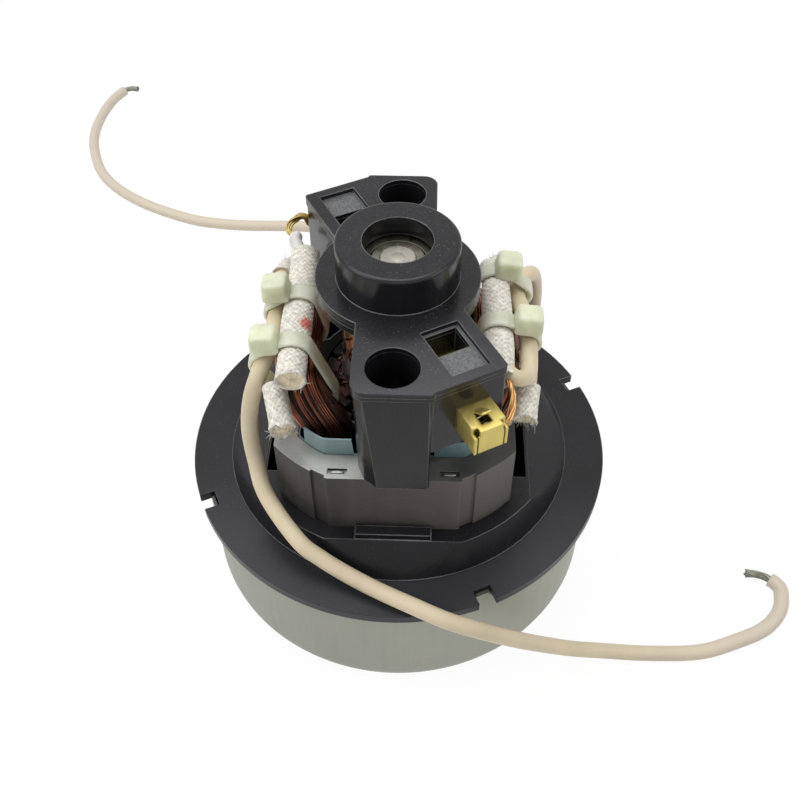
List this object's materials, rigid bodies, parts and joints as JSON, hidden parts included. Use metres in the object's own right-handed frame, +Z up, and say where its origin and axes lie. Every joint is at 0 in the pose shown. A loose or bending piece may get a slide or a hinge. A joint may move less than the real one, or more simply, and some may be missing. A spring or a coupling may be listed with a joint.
{
  "type": "vacuum motor unit",
  "caption": "Bypass-style vacuum cleaner motor: pressed fan case with inlet, moulded frame, wound stator, black end bracket with bearing hub, brass brush boxes and two loose leads.",
  "frame": {"origin": "centre of the fan case's bottom, on the floor it stands on", "axes": "+Z up along the shaft to the bearing hub, -Y towards the front arm of the end bracket"},
  "size_m": [0.2492, 0.2932, 0.1057],
  "materials": {
    "case_steel": "zinc plated pressed sheet",
    "black_plastic": "satin moulded",
    "lamination": "varnished steel sheets",
    "liner_film": "satin film",
    "copper_wire": "enamelled copper",
    "brass": "bright sheet",
    "carbon": "pressed carbon",
    "glass_sleeve": "woven glass",
    "tie_nylon": "natural nylon",
    "lead_jacket": "satin silicone",
    "tinned_copper": "tinned strands",
    "copper_bar": "turned copper",
    "phenolic": "moulded",
    "impeller_sheet": "pressed sheet",
    "steel": "ground"
  },
  "bodies": {
    "stator": {"fan_case": "case_steel", "frame": "black_plastic", "diffuser": "black_plastic", "stator_core": "lamination", "left_liners": "liner_film", "right_liners": "liner_film", "left_field_coil": "copper_wire", "right_field_coil": "copper_wire", "end_bracket": "black_plastic", "bracket_screws": "steel", "front_brush_box": "brass", "rear_brush_box": "brass", "front_brush_wire": "copper_wire", "rear_brush_wire": "copper_wire", "top_bearing_outer": "steel", "low_bearing_outer": "steel", "bearing_washer": "steel", "left_top_sleeve": "glass_sleeve", "left_front_sleeve": "glass_sleeve", "left_rear_sleeve": "glass_sleeve", "right_top_sleeve": "glass_sleeve", "right_front_sleeve": "glass_sleeve", "right_rear_sleeve": "glass_sleeve", "left_front_tie": "tie_nylon", "left_rear_tie": "tie_nylon", "right_front_tie": "tie_nylon", "right_rear_tie": "tie_nylon", "front_lead": "lead_jacket", "rear_lead": "lead_jacket", "front_lead_tip": "tinned_copper", "rear_lead_tip": "tinned_copper", "front_brush_spring": "steel", "rear_brush_spring": "steel"},
    "rotor": {"shaft": "steel", "top_bearing_inner": "steel", "low_bearing_inner": "steel", "armature_core": "lamination", "armature_ends": "phenolic", "armature_winding": "copper_wire", "commutator_bars": "copper_bar", "commutator_hub": "phenolic", "impeller_back": "impeller_sheet", "impeller_blades": "impeller_sheet", "impeller_front": "impeller_sheet", "impeller_spacer": "steel", "impeller_washer": "steel", "impeller_nut": "steel"},
    "top_balls": {"top_bearing_balls": "steel"},
    "low_balls": {"low_bearing_balls": "steel"},
    "front_carbon": {"front_brush": "carbon"},
    "rear_carbon": {"rear_brush": "carbon"}
  },
  "joints": [
    {"name": "rotor_spin", "type": "hinge", "parent": "stator", "child": "rotor", "pos_m": [0, 0, 0.05], "axis": [0, 0, 1], "continuous": true},
    {"name": "top_balls_spin", "type": "hinge", "parent": "stator", "child": "top_balls", "pos_m": [0, 0, 0.097], "axis": [0, 0, 1], "continuous": true},
    {"name": "low_balls_spin", "type": "hinge", "parent": "stator", "child": "low_balls", "pos_m": [0, 0, 0.0325], "axis": [0, 0, 1], "continuous": true},
    {"name": "front_brush_slide", "type": "slide", "parent": "stator", "child": "front_carbon", "axis": [0.4772, -0.8788, 0], "range_m": [0, 0.006], "stiffness_N_per_m": 60, "springref_m": -0.03, "deforming": ["front_brush_spring"]},
    {"name": "rear_brush_slide", "type": "slide", "parent": "stator", "child": "rear_carbon", "axis": [-0.4772, 0.8788, 0], "range_m": [0, 0.006], "stiffness_N_per_m": 60, "springref_m": -0.03, "deforming": ["rear_brush_spring"]}
  ],
  "couplings": [
    {"joint": "top_balls_spin", "follows": "rotor_spin", "ratio": 0.368},
    {"joint": "low_balls_spin", "follows": "rotor_spin", "ratio": 0.368}
  ]
}
